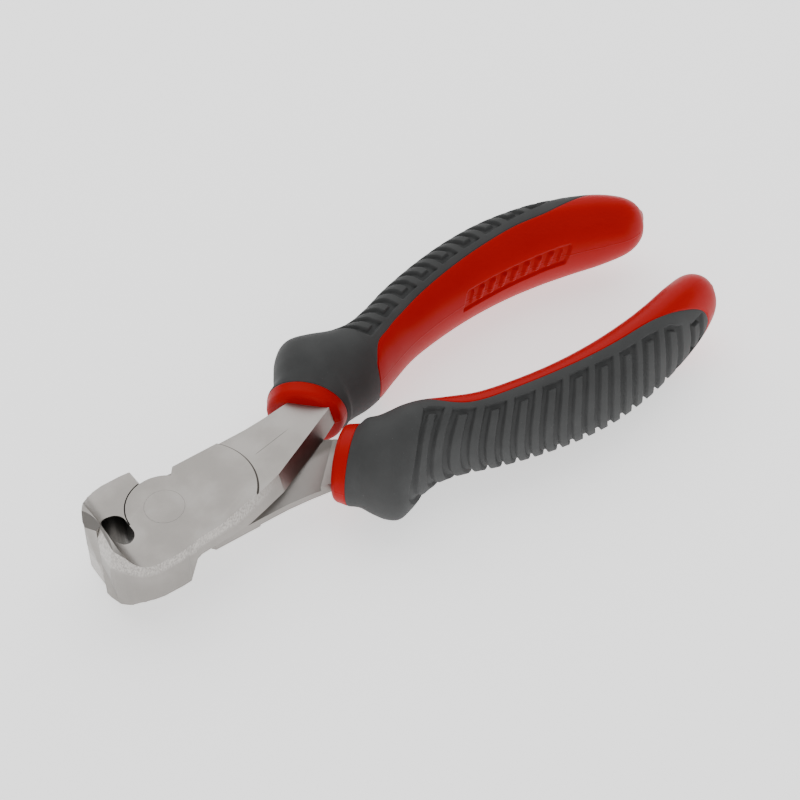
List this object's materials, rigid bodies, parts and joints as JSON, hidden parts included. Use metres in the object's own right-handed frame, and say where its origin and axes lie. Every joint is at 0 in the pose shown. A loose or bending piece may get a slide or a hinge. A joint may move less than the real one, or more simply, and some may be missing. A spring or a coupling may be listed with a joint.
{
  "type": "end cutting nippers",
  "caption": "End cutting nippers: lapped forged halves on a flush rivet, with curved grips that have a guard, a hard core and a ribbed soft cover.",
  "frame": {"origin": "on the pivot axis, in the flat underside of the joint", "axes": "+X from the jaws to the grips, +Y to the side of the upper half's grip, +Z out of the joint's top face along the pivot axis"},
  "size_m": [0.1622, 0.0622, 0.0278],
  "materials": {
    "forged_steel": "satin ground chrome vanadium steel",
    "rivet_steel": "ground flush with the joint's faces",
    "grip_red": "smooth moulded hard plastic",
    "grip_grey": "matt soft moulded plastic"
  },
  "bodies": {
    "lower_half_body": {"lower_half": "forged_steel", "pivot_rivet": "rivet_steel", "lower_grip_core": "grip_red", "lower_grip_cover": "grip_grey"},
    "upper_half_body": {"upper_half": "forged_steel", "upper_grip_core": "grip_red", "upper_grip_cover": "grip_grey"}
  },
  "joints": [
    {"name": "pivot", "type": "hinge", "parent": "lower_half_body", "child": "upper_half_body", "pos_m": [0, 0, 0.0062], "axis": [0, 0, 1], "range_deg": [0, 32]}
  ]
}
